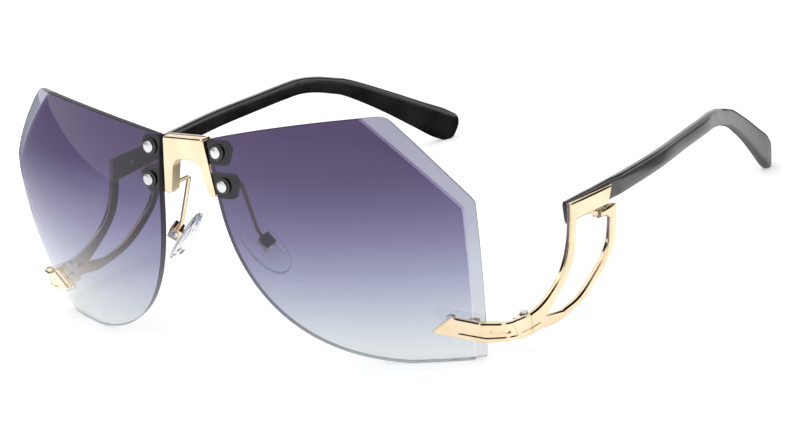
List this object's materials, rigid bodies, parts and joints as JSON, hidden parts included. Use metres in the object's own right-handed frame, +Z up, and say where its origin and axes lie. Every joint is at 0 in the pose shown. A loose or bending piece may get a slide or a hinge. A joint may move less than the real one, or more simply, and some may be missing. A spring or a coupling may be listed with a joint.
{
  "type": "rimless sunglasses",
  "caption": "Rimless sunglasses with oversized six-sided gradient lenses, a gold bridge, nose pads on wire arms, split gold temple fronts and black temples that fold.",
  "frame": {"origin": "on the table, midway between the lenses' side faces left and right, and midway between the front of the bridge screws and the ends of the temple tips", "axes": "+X to the wearer's left, +Y from the lenses back along the temples, +Z up; the lenses face -Y"},
  "size_m": [0.151, 0.1739, 0.0643],
  "materials": {
    "tinted_lens": "polished, tinted dark at the top and nearly clear at the bottom",
    "gold": "polished pale gold plating",
    "black_metal": "gloss black",
    "steel": "polished",
    "clear_silicone": "clear and soft",
    "clear_plate": "clear",
    "black_acetate": "gloss"
  },
  "bodies": {
    "front": {"lens_left": "tinted_lens", "lens_right": "tinted_lens", "bridge_plate": "black_metal", "bridge_washers": "black_metal", "bridge_cover": "gold", "bridge_screws": "steel", "bridge_nuts": "steel", "endpiece_nuts": "steel", "nose_arm_left": "gold", "pad_box_left": "gold", "pad_screw_left": "steel", "endpiece_left": "gold", "backing_plate_left": "clear_plate", "hinge_screw_left": "steel", "nose_arm_right": "gold", "pad_box_right": "gold", "pad_screw_right": "steel", "endpiece_right": "gold", "backing_plate_right": "clear_plate", "hinge_screw_right": "steel"},
    "nose_pad_left": {"nose_pad_left": "clear_silicone", "pad_core_left": "steel"},
    "temple_left": {"temple_frame_left": "gold", "temple_left": "black_acetate", "temple_screws_left": "steel", "hook_screws_left": "steel"},
    "nose_pad_right": {"nose_pad_right": "clear_silicone", "pad_core_right": "steel"},
    "temple_right": {"temple_frame_right": "gold", "temple_right": "black_acetate", "temple_screws_right": "steel", "hook_screws_right": "steel"}
  },
  "joints": [
    {"name": "temple_fold_left", "type": "hinge", "parent": "front", "child": "temple_left", "pos_m": [0.07323, -0.05396, 0.0065], "axis": [0, 0, 1], "range_deg": [0, 82]},
    {"name": "temple_fold_right", "type": "hinge", "parent": "front", "child": "temple_right", "pos_m": [-0.07323, -0.05396, 0.0065], "axis": [0, 0, -1], "range_deg": [0, 70]},
    {"name": "nose_pad_rock_left", "type": "hinge", "parent": "front", "child": "nose_pad_left", "pos_m": [0.01481, -0.07595, 0.03001], "axis": [0.332, 0.8829, 0.332], "range_deg": [-8, 8]},
    {"name": "nose_pad_rock_right", "type": "hinge", "parent": "front", "child": "nose_pad_right", "pos_m": [-0.01481, -0.07595, 0.03001], "axis": [-0.332, 0.8829, 0.332], "range_deg": [-8, 8]}
  ]
}
